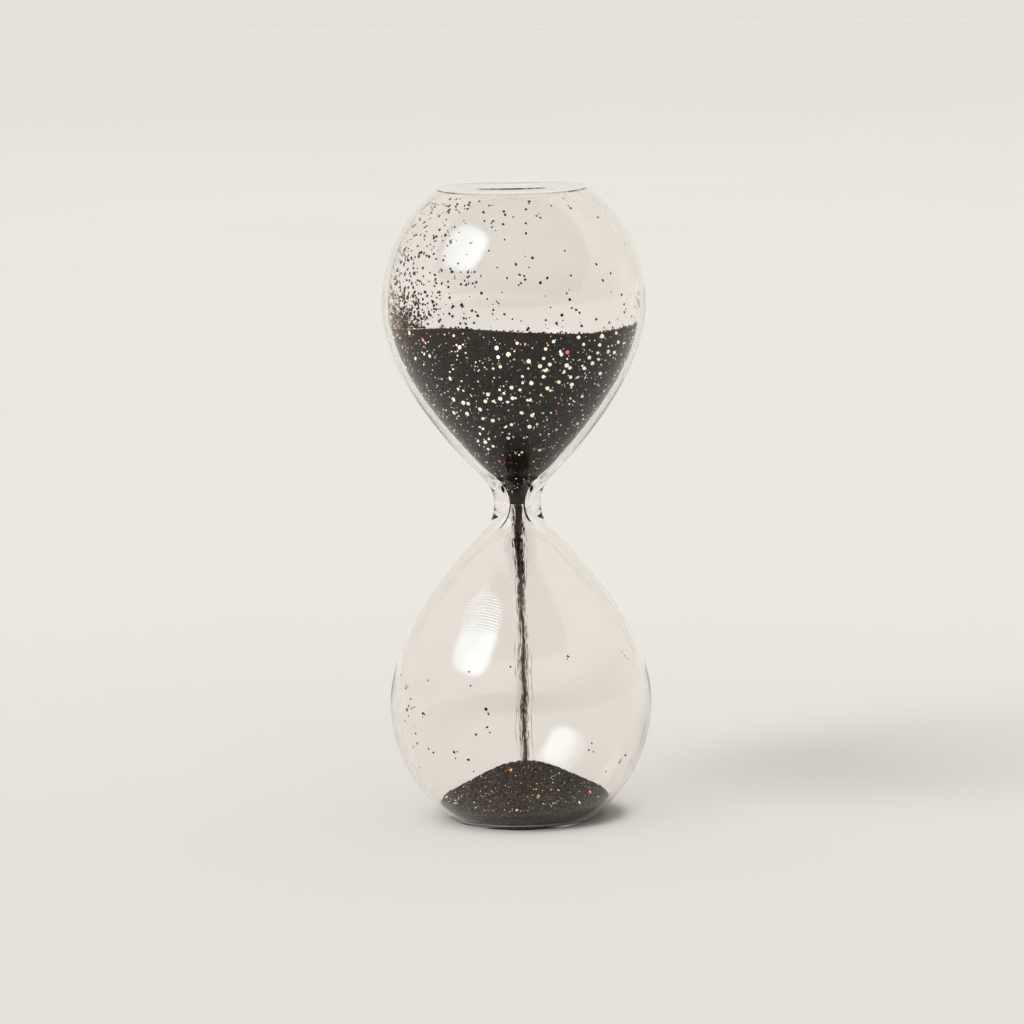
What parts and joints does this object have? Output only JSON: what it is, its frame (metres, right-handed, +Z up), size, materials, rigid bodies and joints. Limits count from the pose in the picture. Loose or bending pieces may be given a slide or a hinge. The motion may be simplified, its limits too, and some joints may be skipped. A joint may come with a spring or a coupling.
{
  "type": "hourglass",
  "caption": "Frameless blown-glass sand timer: two teardrop bulbs fused at a thick waist, dished flat ends, running black glitter sand.",
  "frame": {"origin": "centre of the lower end's flat ring, on the surface it stands on", "axes": "+Z up along the axis of both bulbs and the bore; +X to the viewer's right and -Y towards the viewer of the picture"},
  "size_m": [0.066, 0.066, 0.16],
  "materials": {
    "glass": "clear blown glass, very faintly olive where it is thick",
    "seal_glass": "clear fused glass, thick",
    "sand": "dry warm-black grains, matt",
    "loose_grains": "single black and brown grains",
    "glitter": "cut metallised film, silver-white with coloured glints"
  },
  "bodies": {
    "root": {"upper_bulb": "glass", "neck": "glass", "lower_bulb": "glass", "fill_seal": "seal_glass", "upper_sand": "sand", "sand_stream": "sand", "lower_sand": "sand", "upper_wall_grains": "loose_grains", "lower_wall_grains": "loose_grains", "upper_glitter": "glitter", "lower_glitter": "glitter"}
  },
  "joints": []
}
